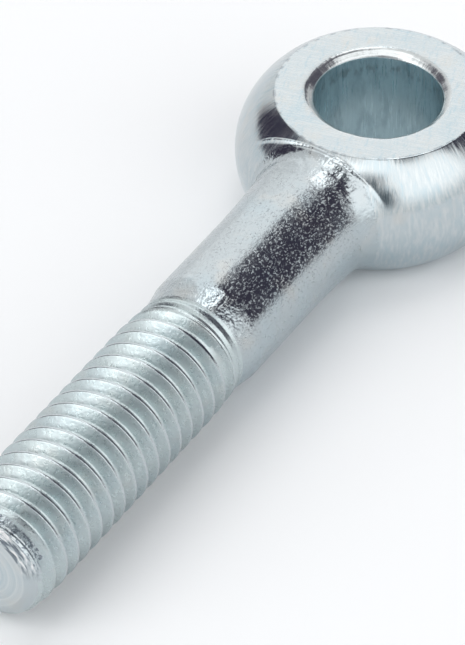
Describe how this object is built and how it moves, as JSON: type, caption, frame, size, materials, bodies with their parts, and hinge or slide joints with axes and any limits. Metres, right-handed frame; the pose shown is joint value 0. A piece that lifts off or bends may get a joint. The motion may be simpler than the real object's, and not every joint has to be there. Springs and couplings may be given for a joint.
{
  "type": "eye bolt",
  "caption": "Zinc-plated swing eye bolt: a threaded shank ending in a flat-sided round eye with a cross bore, for a clevis pin and a nut.",
  "frame": {"origin": "centre of the flat end of the thread, on the bolt's axis", "axes": "+X along the bolt from the thread's end to the eye, +Z along the bore of the eye, +Y across the eye"},
  "size_m": [0.054, 0.018, 0.009],
  "materials": {
    "zinc_plated_steel": "bright zinc plate with a faint blue cast: satin on the turned eye, finely crinkled on the forged neck and shank, smooth on the rolled thread"
  },
  "bodies": {
    "root": {"eye_bolt": "zinc_plated_steel"}
  },
  "joints": []
}
